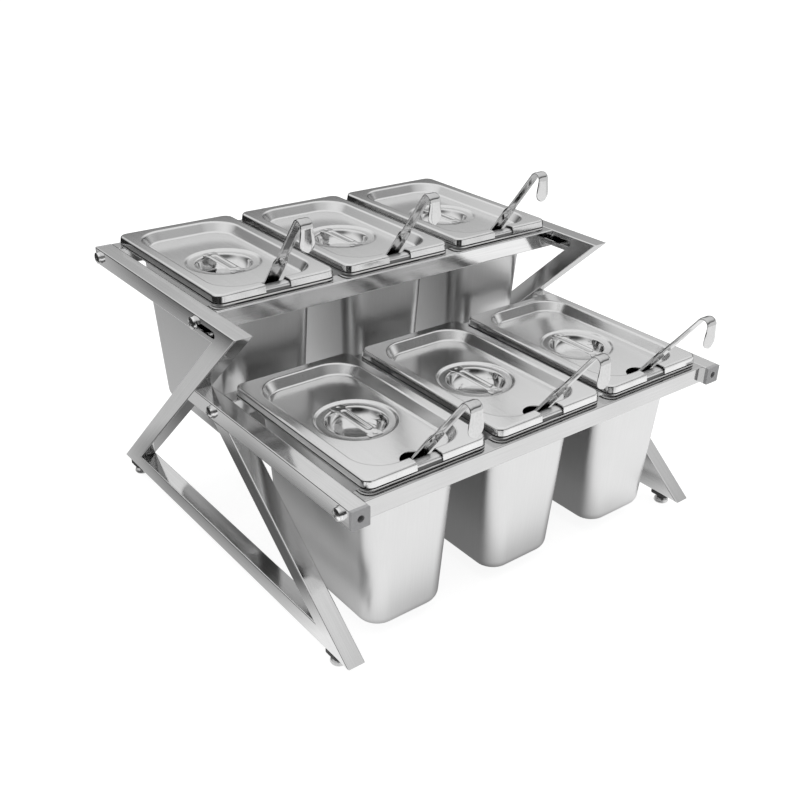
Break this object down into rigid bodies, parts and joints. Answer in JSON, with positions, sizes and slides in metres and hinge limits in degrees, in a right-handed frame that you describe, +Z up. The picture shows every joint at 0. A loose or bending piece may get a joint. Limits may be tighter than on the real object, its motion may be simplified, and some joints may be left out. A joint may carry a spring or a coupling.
{
  "type": "seasoning canister rack",
  "caption": "Two-tier slanted counter rack of square steel tube with drop-in steel pans, notched lift-off lids and hanging serving spoons.",
  "frame": {"origin": "on the table, under the middle of the rack's whole footprint, hanging spoons included", "axes": "+X to the rack's right as seen from its front, +Y from the front (low row) to the rear (high row), +Z up"},
  "size_m": [0.388, 0.412, 0.287],
  "materials": {
    "frame_steel": "finely brushed square tube, mitred and polished at the joints",
    "rail_steel": "finely brushed square tube",
    "screw_steel": "bright turned heads and stamped washers",
    "plug_grey": "matte moulded plugs",
    "collar_rubber": "matte black",
    "glide_steel": "bright domed glides",
    "pan_steel": "satin pressed sheet",
    "lid_steel": "bright satin pressed sheet with polished skirt and dish",
    "grip_steel": "polished pressed strap",
    "spoon_steel": "mirror polished"
  },
  "bodies": {
    "frame": {"left_base_rail": "frame_steel", "left_front_leg": "frame_steel", "left_rear_strut": "frame_steel", "left_lower_rail": "frame_steel", "left_upper_rail": "frame_steel", "right_base_rail": "frame_steel", "right_front_leg": "frame_steel", "right_rear_strut": "frame_steel", "right_lower_rail": "frame_steel", "right_upper_rail": "frame_steel", "lower_front_rail": "rail_steel", "lower_rear_rail": "rail_steel", "upper_rear_rail": "rail_steel", "rail_screws": "screw_steel", "rail_washers": "screw_steel", "front_plugs": "plug_grey", "rear_plugs": "plug_grey", "foot_collars": "collar_rubber", "foot_glides": "glide_steel"},
    "sliding_rail": {"upper_front_rail": "rail_steel", "slide_screws": "screw_steel", "slide_washers": "screw_steel"},
    "pan_lower_left": {"pan_lower_left": "pan_steel"},
    "lid_lower_left": {"lid_lower_left": "lid_steel", "grip_lower_left": "grip_steel"},
    "spoon_lower_left": {"spoon_lower_left": "spoon_steel"},
    "pan_lower_middle": {"pan_lower_middle": "pan_steel"},
    "lid_lower_middle": {"lid_lower_middle": "lid_steel", "grip_lower_middle": "grip_steel"},
    "spoon_lower_middle": {"spoon_lower_middle": "spoon_steel"},
    "pan_lower_right": {"pan_lower_right": "pan_steel"},
    "lid_lower_right": {"lid_lower_right": "lid_steel", "grip_lower_right": "grip_steel"},
    "spoon_lower_right": {"spoon_lower_right": "spoon_steel"},
    "pan_upper_left": {"pan_upper_left": "pan_steel"},
    "lid_upper_left": {"lid_upper_left": "lid_steel", "grip_upper_left": "grip_steel"},
    "spoon_upper_left": {"spoon_upper_left": "spoon_steel"},
    "pan_upper_middle": {"pan_upper_middle": "pan_steel"},
    "lid_upper_middle": {"lid_upper_middle": "lid_steel", "grip_upper_middle": "grip_steel"},
    "spoon_upper_middle": {"spoon_upper_middle": "spoon_steel"},
    "pan_upper_right": {"pan_upper_right": "pan_steel"},
    "lid_upper_right": {"lid_upper_right": "lid_steel", "grip_upper_right": "grip_steel"},
    "spoon_upper_right": {"spoon_upper_right": "spoon_steel"}
  },
  "joints": [
    {"name": "rail_slide", "type": "slide", "parent": "frame", "child": "sliding_rail", "axis": [0, 1, 0], "range_m": [-0.028, 0]},
    {"name": "pan_lower_left_lift", "type": "slide", "parent": "frame", "child": "pan_lower_left", "axis": [0, 0, 1], "range_m": [0, 0.09]},
    {"name": "lid_lower_left_lift", "type": "slide", "parent": "pan_lower_left", "child": "lid_lower_left", "axis": [0, 0, 1], "range_m": [0, 0.05]},
    {"name": "spoon_lower_left_draw", "type": "slide", "parent": "pan_lower_left", "child": "spoon_lower_left", "axis": [0, -0.6018, 0.7986], "range_m": [0, 0.06]},
    {"name": "pan_lower_middle_lift", "type": "slide", "parent": "frame", "child": "pan_lower_middle", "axis": [0, 0, 1], "range_m": [0, 0.09]},
    {"name": "lid_lower_middle_lift", "type": "slide", "parent": "pan_lower_middle", "child": "lid_lower_middle", "axis": [0, 0, 1], "range_m": [0, 0.05]},
    {"name": "spoon_lower_middle_draw", "type": "slide", "parent": "pan_lower_middle", "child": "spoon_lower_middle", "axis": [0, -0.6018, 0.7986], "range_m": [0, 0.06]},
    {"name": "pan_lower_right_lift", "type": "slide", "parent": "frame", "child": "pan_lower_right", "axis": [0, 0, 1], "range_m": [0, 0.09]},
    {"name": "lid_lower_right_lift", "type": "slide", "parent": "pan_lower_right", "child": "lid_lower_right", "axis": [0, 0, 1], "range_m": [0, 0.05]},
    {"name": "spoon_lower_right_draw", "type": "slide", "parent": "pan_lower_right", "child": "spoon_lower_right", "axis": [0, -0.6018, 0.7986], "range_m": [0, 0.06]},
    {"name": "pan_upper_left_lift", "type": "slide", "parent": "frame", "child": "pan_upper_left", "axis": [0, 0, 1], "range_m": [0, 0.16]},
    {"name": "lid_upper_left_lift", "type": "slide", "parent": "pan_upper_left", "child": "lid_upper_left", "axis": [0, 0, 1], "range_m": [0, 0.05]},
    {"name": "spoon_upper_left_draw", "type": "slide", "parent": "pan_upper_left", "child": "spoon_upper_left", "axis": [0, -0.6018, 0.7986], "range_m": [0, 0.06]},
    {"name": "pan_upper_middle_lift", "type": "slide", "parent": "frame", "child": "pan_upper_middle", "axis": [0, 0, 1], "range_m": [0, 0.16]},
    {"name": "lid_upper_middle_lift", "type": "slide", "parent": "pan_upper_middle", "child": "lid_upper_middle", "axis": [0, 0, 1], "range_m": [0, 0.05]},
    {"name": "spoon_upper_middle_draw", "type": "slide", "parent": "pan_upper_middle", "child": "spoon_upper_middle", "axis": [0, -0.6018, 0.7986], "range_m": [0, 0.06]},
    {"name": "pan_upper_right_lift", "type": "slide", "parent": "frame", "child": "pan_upper_right", "axis": [0, 0, 1], "range_m": [0, 0.16]},
    {"name": "lid_upper_right_lift", "type": "slide", "parent": "pan_upper_right", "child": "lid_upper_right", "axis": [0, 0, 1], "range_m": [0, 0.05]},
    {"name": "spoon_upper_right_draw", "type": "slide", "parent": "pan_upper_right", "child": "spoon_upper_right", "axis": [0, -0.6018, 0.7986], "range_m": [0, 0.06]}
  ]
}
